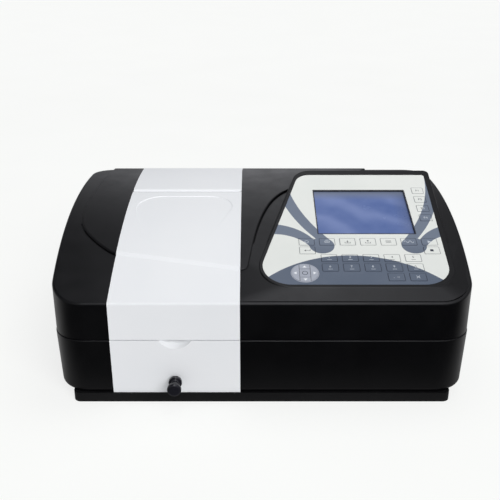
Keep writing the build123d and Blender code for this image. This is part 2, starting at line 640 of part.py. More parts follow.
def beam_windows():
    """Two quartz windows in the chamber's side walls."""
    half = CHAMBER_WIDTH / 2
    wall = CHAMBER_WALL
    return Compound(children=[
        rod_x(WINDOW_R, x, x + wall, yd(BEAM_DEPTH), BEAM_Z)
        for x in (CHAMBER_X - half, CHAMBER_X + half - wall)
    ])


def pull_rod():
    """Steel rod from the carriage to the knob."""
    end = BEAM_DEPTH - CARRIAGE_END + ROD_SINK
    return rod_y(ROD_R, -KNOB_REACH + 8, end, CHAMBER_X, ROD_Z)


def pull_knob():
    """Spool-shaped knob, turned about the rod's axis: a head, a waist and a flange."""
    start, end = KNOB_LENGTH - 4.6, KNOB_LENGTH
    front = Line((0, 0), (5.2, 0))
    head = ThreePointArc((5.2, 0), (7.6, 1.1), (8.3, 3.2))
    rim = Line((8.3, 3.2), (8.3, 5.0))
    waist = Spline((8.3, 5.0), (4.8, 8.4), (4.6, start - 3.4), (7.0, start), tangents=[(-1, 0.15), (1, 0.2)])
    flange = Polyline((7.0, start), (7.8, start + 0.8), (7.8, end - 0.8), (7.0, end), (0, end), (0, 0))
    outline = make_face(Wire([front, head, rim, waist, *flange.edges()]))
    knob = revolve(Plane.XY * outline, Axis.Y)
    knob = Pos(CHAMBER_X, yd(-KNOB_REACH), ROD_Z) * knob
    return knob - rod_y(ROD_R + SEATED, -KNOB_REACH + 7.8, 10, CHAMBER_X, ROD_Z)


# ---- console pieces --------------------------------------------------------------------------
def keypad_overlay():
    """Membrane sheet with a window for the display and a pocket for each key."""
    sheet = extrude(overlay_outline(), OVERLAY_THICK)
    sheet -= Pos(DISPLAY_X, DISPLAY_T, 0) * Box(DISPLAY_W, DISPLAY_H, 10)
    for name, (x, t) in KEY_PLACES.items():
        sheet -= Pos(x, t, -1) * key_pad(name, KEY_CLEAR, 10)
    sheet -= Pos(DIAL_X, DIAL_T, 0) * Cylinder(DIAL_R + KEY_CLEAR, 10)
    return on_console(0, 0, -OVERLAY_RECESS, sheet)


def display_module():
    """Liquid-crystal module behind the console, its glass standing up into the window."""
    back = Pos(0, 0, -6.2) * Box(146, 112, 8)
    glass = Pos(0, 0, -0.6) * Box(DISPLAY_W + 2.4, DISPLAY_H + 2.4, 5.2)
    return on_console(DISPLAY_X, DISPLAY_T, -OVERLAY_RECESS - 2.3, back + glass)


def make_key(name):
    if name in DIAL_KEYS:
        return on_console(DIAL_X, DIAL_T, KEY_FOOT, dial_pad(name))
    x, t = KEY_PLACES[name]
    return on_console(x, t, KEY_FOOT, key_pad(name))


# ---- optics ----------------------------------------------------------------------------------
def monochromator():
    """Cast box with slits, a bearing for the grating turret and two mirror posts."""
    xs, depths, zs = MONO_BOX
    wall = 4.0
    box = block(xs, depths, zs)
    box -= block((xs[0] + wall, xs[1] - wall), (depths[0] + wall, depths[1] - wall), (zs[0] + wall + 2, 120))
    box -= rod_x(6.0, xs[0] - 5, xs[0] + 10, yd(BEAM_DEPTH), BEAM_Z)
    box -= rod_x(6.0, xs[1] - 10, xs[1] + 5, yd(206), BEAM_Z)
    boss = Pos(TURRET_X, yd(TURRET_DEPTH), zs[0] + wall + 5) * Cylinder(12, 8)
    bearing = Pos(TURRET_X, yd(TURRET_DEPTH), 30) * Cylinder(4 + RUNNING, 24)
    posts = [
        Pos(88, yd(110), 45) * Rot(0, 0, 12) * Box(6, 42, 56),
        Pos(88, yd(175), 45) * Rot(0, 0, -12) * Box(6, 42, 56),
    ]
    return box + boss + posts[0] + posts[1] - bearing


def grating_turret():
    """Grating block on a turning table, with its shaft in the casting's bearing."""
    foot = MONO_BOX[2][0] + 13.3
    shaft = Pos(0, 0, foot - 2) * Cylinder(4, 8)
    table = Pos(0, 0, foot + 3.5) * Cylinder(24, 6)
    grating = Pos(0, 3, foot + 24) * Box(34, 8, 36)
    arm = Pos(0, -16, foot + 9.5) * Box(8, 14, 7)
    return Pos(TURRET_X, yd(TURRET_DEPTH), 0) * (shaft + table + grating + arm)


def lamp_house():
    """Vented sheet-metal box round the lamps, open to the fan behind."""
    xs, depths, zs = LAMP_BOX
    wall = 2.0
    box = block(xs, depths, zs)
    box -= block((xs[0] + wall, xs[1] - wall), (depths[0] + wall, depths[1] + 5),
                 (zs[0] + wall, zs[1] - wall))
    box -= rod_x(8.0, xs[0] - 5, xs[0] + 5, yd(206), BEAM_Z)
    for i in range(6):
        x = xs[0] + 17 + i * 13
        box -= block((x - 2.5, x + 2.5), (depths[0] + 20, depths[1] - 20), (zs[1] - 5, zs[1] + 5))
    return box


def lamps():
    """Deuterium bulb in its flanged socket, and the small halogen capsule beside it."""
    floor = LAMP_BOX[2][0] + 2.1
    flange = Pos(0, 0, floor + 3) * Cylinder(20, 6)
    bulb = Pos(0, 0, floor + 34) * Cylinder(14, 56)
    bulb = fillet(bulb.faces().sort_by(Axis.Z)[-1].edges(), 9)
    deuterium = Pos(160, yd(252), 0) * (flange + bulb)
    base = Pos(0, 0, floor + 11) * Box(16, 12, 22)
    capsule = Pos(0, 0, floor + 33) * Cylinder(5, 22)
    capsule = fillet(capsule.faces().sort_by(Axis.Z)[-1].edges(), 4)
    halogen = Pos(146, yd(212), 0) * (base + capsule)
    return Compound(children=[deuterium, halogen])


def detector_block():
    """Photodiode housing on the far side of the chamber, facing the beam."""
    body = block((-213, -176), (BEAM_DEPTH - 24, BEAM_DEPTH + 24), (FLOOR_Z, 74))
    body = fillet(body.edges().filter_by(Axis.Z), 3)
    return body - rod_x(6.0, -200, -170, yd(BEAM_DEPTH), BEAM_Z)


# ---- electronics -----------------------------------------------------------------------------
def main_board():
    """Processor board on four posts behind the chamber."""
    xs, depths = (-212.0, -34.0), (222.0, 318.0)
    board = block(xs, depths, (30, 31.6))
    for x in (xs[0] + 8, xs[1] - 8):
        for depth in (depths[0] + 8, depths[1] - 8):
            board += Pos(x, yd(depth), (FLOOR_Z + 30) / 2) * Cylinder(3, 30 - FLOOR_Z)
    chips = [(-190, 250, 34, 24, 3), (-140, 262, 28, 28, 3.4), (-90, 246, 40, 14, 8),
             (-70, 290, 18, 18, 12), (-200, 295, 22, 12, 10), (-150, 300, 30, 10, 5)]
    for x, depth, wide, long, tall in chips:
        board += block((x - wide / 2, x + wide / 2), (depth - long / 2, depth + long / 2), (31, 31.6 + tall))
    return board


def power_supply():
    """Boxed switching supply with vent slots."""
    xs, depths, zs = (118.0, 212.0), (30.0, 176.0), (FLOOR_Z, 64.0)
    box = block(xs, depths, zs)
    box -= block((xs[0] + 2, xs[1] - 2), (depths[0] + 2, depths[1] - 2), (zs[0] + 2, zs[1] - 2))
    for i in range(9):
        depth = depths[0] + 18 + i * 13.5
        box -= block((xs[0] + 14, xs[1] - 14), (depth - 2, depth + 2), (zs[1] - 3, zs[1] + 3))
    return box


def power_inlet():
    """Mains inlet and switch frame in one moulding, with three contact blades."""
    outside = DEPTH + LOWER_PROUD
    flange = block((INLET_X - 15.5, INLET_X + 15.5), (outside, outside + SOCKET_FLANGE),
                   (INLET_Z - 26, INLET_Z + 26))
    flange = fillet(flange.edges().filter_by(Axis.Y), 3)
    half_w, half_h = INLET_W / 2 - 0.15, INLET_H / 2 - 0.15
    body = block((INLET_X - half_w, INLET_X + half_w), (outside - 26, outside + 1),
                 (INLET_Z - half_h, INLET_Z + half_h))
    body += flange
    body -= block((INLET_X - 12, INLET_X + 12), (outside - 14, outside + 5), (SOCKET_Z - 8.2, SOCKET_Z + 8.2))
    clear = 0.4
    body -= block((INLET_X - SWITCH_W / 2 - clear, INLET_X + SWITCH_W / 2 + clear),
                  (outside - 12, outside + 5),
                  (SWITCH_Z - SWITCH_H / 2 - clear, SWITCH_Z + SWITCH_H / 2 + clear))
    pin_reach = SWITCH_W / 2 + 1.6
    body -= rod_x(SWITCH_PIN_R + RUNNING, INLET_X - pin_reach, INLET_X + pin_reach,
                  yd(SWITCH_PIVOT_DEPTH), SWITCH_Z)
    blades = []
    for x, z in ((-7, 2.0), (7, 2.0), (0, -2.0)):
        blades.append(block((INLET_X + x - 1, INLET_X + x + 1), (outside - 13.9, outside - 2),
                            (SOCKET_Z + z - 2.2, SOCKET_Z + z + 2.2)))
    return Compound(children=[body, *blades])


def power_switch():
    """Rocker, resting with its lower half pressed in."""
    y = yd(SWITCH_PIVOT_DEPTH)
    half = SWITCH_H / 2
    wing = Polyline((1.6, -1.6), (-1.6, -1.6), (-half + 0.8, 0), (-half + 1.3, 6.6), (0, 5.2),
                    (half - 1.3, 6.6), (half - 0.8, 0), close=True)
    section = make_face(wing)
    # the section's x runs up the switch and its y runs out of the rear wall
    plate = Plane(origin=(-SWITCH_W / 2, 0, 0), x_dir=(0, 0, 1), z_dir=(-1, 0, 0))
    rocker = plate * extrude(section, -SWITCH_W)
    rocker += rod_x(SWITCH_PIN_R, -SWITCH_W / 2 - 1.4, SWITCH_W / 2 + 1.4, 0, 0)
    return Pos(INLET_X, y, SWITCH_Z) * Rot(SWITCH_TILT, 0, 0) * rocker


def fan_frame():
    """Square fan frame with a round duct, a motor seat and four struts."""
    depths = (FAN_FRONT, FAN_FRONT + FAN_THICK)
    half = FAN_SIZE / 2
    frame = block((FAN_X - half, FAN_X + half), depths, (FAN_Z - half, FAN_Z + half))
    frame = fillet(frame.edges().filter_by(Axis.Y), 4)
    frame -= rod_y(FAN_BLADE_R + 1.2, depths[0] - 1, depths[1] + 1, FAN_X, FAN_Z)
    seat = rod_y(12.0, depths[0], depths[0] + 3, FAN_X, FAN_Z)
    ring = rod_y(FAN_BLADE_R + 3, depths[0], depths[0] + 2.5, FAN_X, FAN_Z)
    strut = Pos(17, 0, 0) * Box(34, 2.5, 3)
    for i in range(4):
        frame += Pos(FAN_X, yd(depths[0] + 1.25), FAN_Z) * Rot(0, 45 + 90 * i, 0) * strut & ring
    frame += seat
    return frame - rod_y(1.5 + RUNNING, depths[0] - 1, depths[0] + 4, FAN_X, FAN_Z)


def fan_rotor():
    """Hub, shaft and curved blades."""
    hub = rod_y(FAN_HUB_R, FAN_FRONT + 4, FAN_FRONT + 17, FAN_X, FAN_Z)
    hub += rod_y(1.5, FAN_FRONT + 0.5, FAN_FRONT + 5, FAN_X, FAN_Z)
    reach = FAN_BLADE_R - FAN_HUB_R + 1
    for i in range(FAN_BLADES):
        blade = Pos(FAN_HUB_R + reach / 2 - 1, 0, 0) * Rot(38, 0, 0) * Box(reach, 1.6, 13)
        hub += Pos(FAN_X, yd(FAN_FRONT + 10.5), FAN_Z) * Rot(0, 360 / FAN_BLADES * i, 0) * blade
    return hub


def port_block(x, half_width, depths, half_height):
    """A box centred on a data socket in the rear wall, its depths measured from the wall's face."""
    outside = DEPTH + LOWER_PROUD
    return block((x - half_width, x + half_width), (outside + depths[0], outside + depths[1]),
                 (PORTS_Z - half_height, PORTS_Z + half_height))


def data_ports():
    """Serial and square data sockets in the rear wall."""
    serial = port_block(SERIAL_X, 15.4, (0, 0.9), 6.2)
    serial += port_block(SERIAL_X, 10, (-12, 0.5), 5.5)
    serial += port_block(SERIAL_X, 8.5, (0, 2.4), 4.2)
    serial -= port_block(SERIAL_X, 7.7, (-3, 5), 3.4)
    usb = port_block(USB_X, 8.5, (0, 0.9), 8)
    usb += port_block(USB_X, 6, (-16, 0.5), 5.5)
    usb -= port_block(USB_X, 4.3, (-9, 5), 4)
    usb += port_block(USB_X, 2.9, (-9.5, -1), 1.5)
    return Compound(children=[serial, usb])


PIECES = {
    "upper_cover": upper_cover,
    "lower_housing": lower_housing,
    "base_pan": base_pan,
    "housing_screws": housing_screws,
    "rubber_feet": rubber_feet,
    "front_panel": front_panel,
    "sample_lid": sample_lid,
    "rear_trim": rear_trim,
    "hinge_rod": hinge_rod,
    "sample_chamber": sample_chamber,
    "chamber_seal": chamber_seal,
    "beam_windows": beam_windows,
    "cell_carriage": cell_carriage,
    "carriage_rails": carriage_rails,
    "pull_rod": pull_rod,
    "pull_knob": pull_knob,
    "keypad_overlay": keypad_overlay,
    "display_module": display_module,
    "monochromator": monochromator,
    "grating_turret": grating_turret,
    "lamp_house": lamp_house,
    "lamps": lamps,
    "detector_block": detector_block,
    "main_board": main_board,
    "power_supply": power_supply,
    "power_inlet": power_inlet,
    "power_switch": power_switch,
    "fan_frame": fan_frame,
    "fan_rotor": fan_rotor,
    "data_ports": data_ports,
}


def main():
    os.makedirs("parts", exist_ok=True)
    for name, make in PIECES.items():
        export_step(make(), f"parts/{name}.step")
    for name in (*KEY_PLACES, *DIAL_KEYS):
        export_step(make_key(name), f"parts/{name}.step")


if __name__ == "__main__":
    main()
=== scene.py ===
import json
from math import cos, pi, radians, sin

import bmesh
import bpy
from mathutils import Matrix, Vector


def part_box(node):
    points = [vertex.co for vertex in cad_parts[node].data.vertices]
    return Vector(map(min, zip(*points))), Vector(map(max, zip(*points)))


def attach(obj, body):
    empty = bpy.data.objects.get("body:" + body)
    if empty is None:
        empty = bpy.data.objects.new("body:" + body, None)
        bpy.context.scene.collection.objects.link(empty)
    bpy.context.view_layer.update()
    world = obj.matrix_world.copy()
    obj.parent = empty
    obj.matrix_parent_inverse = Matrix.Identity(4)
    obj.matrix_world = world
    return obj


# Looks of a bench spectrophotometer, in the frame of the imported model. The scene is in metres.
# Sizes of small parts are given in millimetres, and MM turns them into metres.

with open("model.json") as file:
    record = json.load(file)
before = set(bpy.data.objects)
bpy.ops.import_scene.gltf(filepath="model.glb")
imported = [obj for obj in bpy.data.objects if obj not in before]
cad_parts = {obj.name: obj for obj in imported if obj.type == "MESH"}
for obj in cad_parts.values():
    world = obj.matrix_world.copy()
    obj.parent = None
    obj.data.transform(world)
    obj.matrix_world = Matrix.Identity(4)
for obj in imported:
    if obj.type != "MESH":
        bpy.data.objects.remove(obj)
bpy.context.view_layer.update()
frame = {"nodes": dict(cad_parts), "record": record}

MM = 0.001
NODES = frame["nodes"]
JOINTS = {joint["name"]: joint for joint in frame["record"]["behaviour"]["joints"]}
NORMAL = -Vector(JOINTS["key_ok_press"]["axis"]).normalized()      # out of the console
UPHILL = Vector((0, NORMAL.z, -NORMAL.y))          # up the console's slope
ACROSS = Vector((1, 0, 0))


def centre(node):
    """The middle of a node's box."""
    low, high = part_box(node)
    return (Vector(low) + Vector(high)) / 2


PAD = centre("key_ok")                             # middle of the round cursor pad
PAD_R = (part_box("key_right")[1][0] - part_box("key_left")[0][0]) / 2 / MM      # in millimetres
SCREEN = centre("display_module")
BOARD_TOP = 31.6                                   # height of the processor board, in millimetres
KEY_TOP = 0.75 * MM                                # half a key's thickness
INK = 0.04 * MM                                    # thickness of printed ink
FONT_SCALE = 1.4                                   # the font's size for a letter 1 high


# ---- node helpers ----------------------------------------------------------------------------
class Shader:
    """A material's node tree, with short calls for the nodes used here."""

    def __init__(self, name, **fixed):
        self.material = bpy.data.materials.new(name)
        self.material.use_nodes = True
        self.tree = self.material.node_tree
        self.bsdf = self.tree.nodes["Principled BSDF"]
        for socket, value in fixed.items():
            self.bsdf.inputs[socket.replace("_", " ")].default_value = value
        self.place = self.add("ShaderNodeTexCoord").outputs["Object"]

    def add(self, kind, **settings):
        node = self.tree.nodes.new(kind)
        for key, value in settings.items():
            setattr(node, key, value)
        return node

    def feed(self, socket, value):
        if isinstance(value, bpy.types.NodeSocket):
            self.tree.links.new(value, socket)
        else:
            socket.default_value = value

    def math(self, operation, a, b=0.0, c=0.0):
        node = self.add("ShaderNodeMath", operation=operation)
        for socket, value in zip(node.inputs, (a, b, c)):
            self.feed(socket, value)
        return node.outputs[0]

    def dot(self, a, b):
        node = self.add("ShaderNodeVectorMath", operation="DOT_PRODUCT")
        self.feed(node.inputs[0], a)
        self.feed(node.inputs[1], b)
        return node.outputs["Value"]

    def noise(self, scale, detail=4.0, rough=0.5, stretch=(1, 1, 1)):
        mapping = self.add("ShaderNodeMapping")
        self.feed(mapping.inputs["Vector"], self.place)
        mapping.inputs["Scale"].default_value = stretch
        node = self.add("ShaderNodeTexNoise")
        self.feed(node.inputs["Vector"], mapping.outputs[0])
        node.inputs["Scale"].default_value = scale
        node.inputs["Detail"].default_value = detail
        node.inputs["Roughness"].default_value = rough
        return node.outputs["Fac"]

    def span(self, value, low, high, start=0.3, end=0.7):
        node = self.add("ShaderNodeMapRange")
        limits = {"From Min": start, "From Max": end, "To Min": low, "To Max": high}
        for key, number in limits.items():
            node.inputs[key].default_value = number
        self.feed(node.inputs["Value"], value)
        return node.outputs[0]

    def mix(self, factor, a, b):
        node = self.add("ShaderNodeMix", data_type="RGBA")
        self.feed(node.inputs["Factor"], factor)
        self.feed(node.inputs[6], (*a, 1) if isinstance(a, tuple) else a)
        self.feed(node.inputs[7], (*b, 1) if isinstance(b, tuple) else b)
        return node.outputs[2]

    def bump(self, height, strength, distance):
        node = self.add("ShaderNodeBump")
        node.inputs["Strength"].default_value = strength
        node.inputs["Distance"].default_value = distance
        self.feed(node.inputs["Height"], height)
        self.feed(self.bsdf.inputs["Normal"], node.outputs[0])

    def color(self, value):
        self.feed(self.bsdf.inputs["Base Color"], value)

    def roughness(self, value):
        self.feed(self.bsdf.inputs["Roughness"], value)


# ---- materials -------------------------------------------------------------------------------
def moulded(name, color, tint, rough, grain=2600.0, depth=0.02, specular=0.5):
    """Moulded plastic: fine spark texture, faint flow marks and handling sheen."""
    s = Shader(name, Specular_IOR_Level=specular)
    flow = s.noise(9.0, 3.0, stretch=(1, 0.4, 1))
    s.color(s.mix(s.span(flow, 0.0, 1.0), color, tint))
    handling = s.noise(38.0, 6.0, 0.6)
    s.roughness(s.span(handling, rough[0], rough[1]))
    s.bump(s.noise(grain, 2.0), 0.35, depth * MM)
    return s.material


def metal(name, color, rough, stretch=(1, 1, 1), scale=900.0, darker=0.75):
    """Ground or plated metal, its lines along the long direction of stretch."""
    s = Shader(name, Metallic=1.0)
    lines = s.noise(scale, 3.0, stretch=stretch)
    dull = tuple(c * darker for c in color)
    s.color(s.mix(s.span(s.noise(24.0, 5.0), 0.0, 1.0), color, dull))
    s.roughness(s.span(lines, rough[0], rough[1]))
    s.bump(lines, 0.25, 0.02 * MM)
    return s.material


def coated(name, color, tint, rough, pebble=1400.0):
    """Powder coat or anodising over metal, with a pebbled surface."""
    s = Shader(name, Specular_IOR_Level=0.4)
    s.color(s.mix(s.span(s.noise(16.0, 4.0), 0.0, 1.0), color, tint))
    s.roughness(s.span(s.noise(90.0, 4.0), rough[0], rough[1]))
    s.bump(s.noise(pebble, 2.0), 0.5, 0.05 * MM)
    return s.material


def rubber(name):
    s = Shader(name, Specular_IOR_Level=0.3)
    cloud = s.span(s.noise(60.0, 5.0), 0.0, 1.0)
    s.color(s.mix(cloud, (0.012, 0.012, 0.012), (0.03, 0.029, 0.028)))
    s.roughness(s.span(s.noise(120.0), 0.65, 0.9))
    s.bump(s.noise(1800.0, 3.0), 0.6, 0.06 * MM)
    return s.material


def quartz():
    s = Shader("quartz", Transmission_Weight=0.92, IOR=1.46)
    s.color(s.mix(s.span(s.noise(40.0), 0.0, 1.0), (0.93, 0.95, 0.97), (0.86, 0.9, 0.93)))
    s.roughness(s.span(s.noise(70.0), 0.02, 0.08))
    s.bump(s.noise(300.0), 0.05, 0.01 * MM)
    return s.material


def circuit():
    """Green board with tracks, black parts standing on it and brass posts under it."""
    s = Shader("circuit_board", Specular_IOR_Level=0.5)
    tracks = s.span(s.noise(260.0, 1.0, stretch=(1, 4, 1)), 0.0, 1.0, 0.48, 0.52)
    green = s.mix(tracks, (0.008, 0.09, 0.03), (0.02, 0.16, 0.06))
    height = s.math("MULTIPLY", s.dot(s.place, (0, 0, 1)), 1 / MM)
    parts = s.math("GREATER_THAN", height, BOARD_TOP + 0.1)
    posts = s.math("LESS_THAN", height, BOARD_TOP - 1.7)
    s.color(s.mix(posts, s.mix(parts, green, (0.02, 0.02, 0.022)), (0.45, 0.32, 0.12)))
    s.roughness(s.span(s.noise(60.0), 0.25, 0.4))
    s.bump(tracks, 0.3, 0.05 * MM)
    return s.material


# The printed graphic on the console: a low hill along the bottom, and on each side a round bud with
# two arms. Places are (across, up) in millimetres. The buds and arms mirror about the display.
PAD_PLACE = (50.4, 19.5)                 # where the cursor pad's middle is in these coordinates
MIRROR_X = 130.6
HILL = ((106.0, -91.0), 143.0)
BUD = ((56.5, 71.2), 15.4)
UPPER_ARM = (((-173.0, 240.4), 269.8), ((-138.4, 232.2), 249.5))
LOWER_ARM = (((115.3, 42.8), 51.3), ((121.7, 50.4), 64.6))
ARM_FOOT = (70.0, 62.0)                  # the arms start above these heights
ARM_END = 47.0                           # the upper arms end this far from the display's middle


def print_mask(s):
    """1 where the graphic's blue-grey ink is, and 0 elsewhere."""
    x = s.math("MULTIPLY_ADD", s.dot(s.place, tuple(ACROSS)), 1 / MM, PAD_PLACE[0] - PAD.x / MM)
    start = PAD_PLACE[1] - PAD.dot(UPHILL) / MM
    t = s.math("MULTIPLY_ADD", s.dot(s.place, tuple(UPHILL)), 1 / MM, start)
    m = s.math("ABSOLUTE", s.math("SUBTRACT", x, MIRROR_X))

    def inside(across, disc):
        (cx, ct), radius = disc
        dx = s.math("SUBTRACT", across, cx)
        dt = s.math("SUBTRACT", t, ct)
        square = s.math("MULTIPLY_ADD", dx, dx, s.math("MULTIPLY", dt, dt))
        return s.math("LESS_THAN", square, radius * radius)

    def arm(outer, inner, foot):
        band = s.math("MULTIPLY", outer, s.math("SUBTRACT", 1.0, inner))
        return s.math("MULTIPLY", band, s.math("GREATER_THAN", t, foot))

    upper = arm(inside(m, UPPER_ARM[1]), inside(m, UPPER_ARM[0]), ARM_FOOT[0])
    upper = s.math("MULTIPLY", upper, s.math("GREATER_THAN", m, ARM_END))
    lower = arm(inside(m, LOWER_ARM[1]), inside(m, LOWER_ARM[0]), ARM_FOOT[1])
    lower = s.math("MULTIPLY", lower, s.math("GREATER_THAN", m, BUD[0][0]))
    arms = s.math("MAXIMUM", upper, lower)
    buds = s.math("MAXIMUM", arms, inside(m, BUD))
    return s.math("MAXIMUM", buds, inside(x, HILL))


def printed_film():
    """Screen-printed polyester film with a fine matt texture."""
    s = Shader("printed_film", Specular_IOR_Level=0.4)
    cloud = s.span(s.noise(22.0, 4.0), 0.0, 1.0)
    ground = s.mix(cloud, (0.695, 0.715, 0.69), (0.725, 0.74, 0.715))
    height = s.math("MULTIPLY_ADD", s.dot(s.place, tuple(UPHILL)), 1 / MM, -PAD.dot(UPHILL) / MM)
    ink = s.mix(s.span(height, 0.0, 1.0, 25.0, 60.0), (0.088, 0.112, 0.158), (0.142, 0.172, 0.228))
    ink = s.mix(s.math("MULTIPLY", cloud, 0.15), ink, (0.18, 0.20, 0.25))
    s.color(s.mix(print_mask(s), ground, ink))
    s.roughness(s.span(s.noise(160.0, 4.0), 0.34, 0.46))
    s.bump(s.noise(3200.0, 2.0), 0.25, 0.02 * MM)
    return s.material


def legend_ink():
    """Ink of the legends: dark on the pale film and pale on the graphic."""
    s = Shader("legend_ink", Specular_IOR_Level=0.3)
    patchy = s.span(s.noise(900.0, 2.0), 0.0, 1.0)
    dark = s.mix(patchy, (0.022, 0.025, 0.04), (0.045, 0.05, 0.07))
    pale = s.mix(patchy, (0.52, 0.56, 0.62), (0.62, 0.65, 0.70))
    s.color(s.mix(print_mask(s), dark, pale))
    s.roughness(s.span(s.noise(500.0), 0.4, 0.6))
    return s.material


def outline_ink():
    """Thin lines round the keys."""
    s = Shader("outline_ink", Specular_IOR_Level=0.3)
    patchy = s.span(s.noise(700.0, 2.0), 0.0, 1.0)
    on_film = s.mix(patchy, (0.14, 0.145, 0.165), (0.20, 0.205, 0.225))
    on_ink = s.mix(patchy, (0.022, 0.028, 0.045), (0.04, 0.046, 0.066))
    s.color(s.mix(print_mask(s), on_film, on_ink))
    s.roughness(s.span(s.noise(400.0), 0.4, 0.6))
    return s.material


def silver_ink():
    """Pale lilac metallic ink of the cursor pad."""
    s = Shader("silver_ink", Metallic=0.25)
    flakes = s.span(s.noise(2500.0, 2.0), 0.0, 1.0)
    s.color(s.mix(flakes, (0.34, 0.365, 0.43), (0.44, 0.465, 0.53)))
    s.roughness(s.span(s.noise(300.0), 0.3, 0.45))
    s.bump(flakes, 0.15, 0.01 * MM)
    return s.material


def screen_glass():
    """Blue display under a protective film with slack, slanting waves, with painted reflection and
    painted shade in its colour.
    """
    s = Shader("screen_glass", Specular_IOR_Level=0.5, Coat_Weight=0.3, Coat_Roughness=0.12)
    slant = s.add("ShaderNodeMapping")
    s.feed(slant.inputs["Vector"], s.place)
    slant.inputs["Rotation"].default_value = (0, 0, radians(-55))
    wave = s.add("ShaderNodeTexWave", wave_profile="SIN")
    s.feed(wave.inputs["Vector"], slant.outputs[0])
    settings = {"Scale": 6.5, "Distortion": 4.5, "Detail": 2.0, "Detail Scale": 1.6}
    for key, number in settings.items():
        wave.inputs[key].default_value = number
    cells = s.span(s.noise(46.0, 3.0), 0.0, 1.0)
    blue = s.mix(cells, (0.070, 0.120, 0.315), (0.095, 0.148, 0.350))
    # painted reflection: the waves' crests lighten the colour into pale slanting streaks
    sheen = s.math("MULTIPLY", s.math("POWER", wave.outputs["Fac"], 2.0), 0.42)
    film = s.mix(sheen, blue, (0.21, 0.27, 0.50))
    up = s.math("MULTIPLY_ADD", s.dot(s.place, tuple(UPHILL)), 1 / MM, -SCREEN.dot(UPHILL) / MM)
    across = s.math("MULTIPLY_ADD", s.dot(s.place, tuple(ACROSS)), 1 / MM, -SCREEN.x / MM)
    # darker towards the right edge of the window
    film = s.mix(s.span(across, 0.0, 0.6, 42.0, 60.0), film, (0.070, 0.098, 0.20))
    # painted shade: a greyer band along the top of the window, for the shadow of its top edge
    s.color(s.mix(s.span(up, 0.0, 0.9, 28.0, 44.0), film, (0.135, 0.16, 0.225)))
    s.roughness(s.span(s.noise(30.0), 0.18, 0.28))
    s.bump(wave.outputs["Fac"], 0.1, 0.2 * MM)
    return s.material


def arrow_ink():
    """White ink of the arrows, the cell numbers and the switch's marks."""
    s = Shader("arrow_ink", Specular_IOR_Level=0.3)
    s.color(s.mix(s.span(s.noise(800.0), 0.0, 1.0), (0.74, 0.76, 0.80), (0.82, 0.84, 0.86)))
    s.roughness(s.span(s.noise(500.0), 0.4, 0.6))
    return s.material


def dark_line():
    """Black masking print round the display."""
    s = Shader("dark_line", Specular_IOR_Level=0.4)
    s.color(s.mix(s.span(s.noise(300.0), 0.0, 1.0), (0.012, 0.013, 0.018), (0.022, 0.023, 0.03)))
    s.roughness(s.span(s.noise(200.0), 0.35, 0.5))
    return s.material


def gold():
    """Gold plating of the contacts."""
    return metal("gold_plating", (0.83, 0.62, 0.24), (0.18, 0.3), (30, 1, 30), 1200.0)


def shade_felt():
    """Grey felt, for the strip that paints the hinge groove's shade."""
    s = Shader("shade_felt", Specular_IOR_Level=0.1, Roughness=0.95)
    s.color(s.mix(s.span(s.noise(900.0, 4.0), 0.0, 1.0), (0.30, 0.30, 0.31), (0.44, 0.44, 0.45)))
    s.bump(s.noise(2500.0, 3.0), 0.6, 0.1 * MM)
    return s.material


def paint(material, *names):
    for name in names:
        mesh = NODES[name].data
        mesh.materials.clear()
        mesh.materials.append(material)


def make_materials():
    keys = [n for n in NODES if n.startswith("key_")]
    pad_keys = ["key_up", "key_down", "key_left", "key_right", "key_ok"]
    made = {
        "black": moulded("black_casing", (0.0004, 0.0004, 0.0008), (0.0011, 0.0011, 0.0016),
                         (0.30, 0.40)),
        "white": moulded("white_casing", (0.77, 0.785, 0.81), (0.80, 0.81, 0.83), (0.36, 0.48)),
        "film": printed_film(),
        "legend": legend_ink(),
        "outline": outline_ink(),
        "silver": silver_ink(),
        "screen": screen_glass(),
        "steel": metal("ground_steel", (0.62, 0.62, 0.63), (0.18, 0.34), (30, 1, 30)),
        "sheet": metal("plated_sheet", (0.66, 0.66, 0.65), (0.3, 0.45), (1, 6, 1), 500.0),
        "cast": metal("cast_aluminium", (0.52, 0.52, 0.53), (0.45, 0.65), scale=1500.0),
        "anodised": coated("black_anodised", (0.014, 0.014, 0.016), (0.022, 0.022, 0.025),
                           (0.32, 0.45)),
        "chamber": coated("matt_black", (0.007, 0.007, 0.007), (0.012, 0.012, 0.012), (0.6, 0.8)),
        "pan": coated("pan_black", (0.0022, 0.0022, 0.0026), (0.004, 0.004, 0.0045), (0.5, 0.65)),
        "knob": moulded("knob_plastic", (0.008, 0.008, 0.011), (0.014, 0.014, 0.02), (0.12, 0.2),
                        4000.0, 0.004),
        "socket": moulded("socket_plastic", (0.014, 0.014, 0.015), (0.02, 0.02, 0.021),
                          (0.4, 0.55)),
        "rubber": rubber("foot_rubber"),
        "quartz": quartz(),
        "board": circuit(),
        "arrow": arrow_ink(),
        "dark": dark_line(),
        "gold": gold(),
        "shade_felt": shade_felt(),
    }
    paint(made["black"], "upper_cover", "lower_housing")
    paint(made["white"], "sample_lid", "front_panel", "rear_trim")
    paint(made["film"], "keypad_overlay", *[k for k in keys if k not in pad_keys])
    paint(made["silver"], *pad_keys)
    paint(made["screen"], "display_module")
    paint(made["steel"], "hinge_rod", "carriage_rails", "pull_rod", "housing_screws")
    paint(made["sheet"], "lamp_house", "power_supply", "data_ports")
    paint(made["cast"], "monochromator", "grating_turret", "detector_block")
    paint(made["anodised"], "cell_carriage")
    paint(made["chamber"], "sample_chamber")
    paint(made["pan"], "base_pan")
    paint(made["knob"], "pull_knob")
    paint(made["socket"], "power_inlet", "power_switch", "fan_frame", "fan_rotor")
    paint(made["rubber"], "rubber_feet", "chamber_seal")
    paint(made["quartz"], "beam_windows", "lamps")
    paint(made["board"], "main_board")
    return made


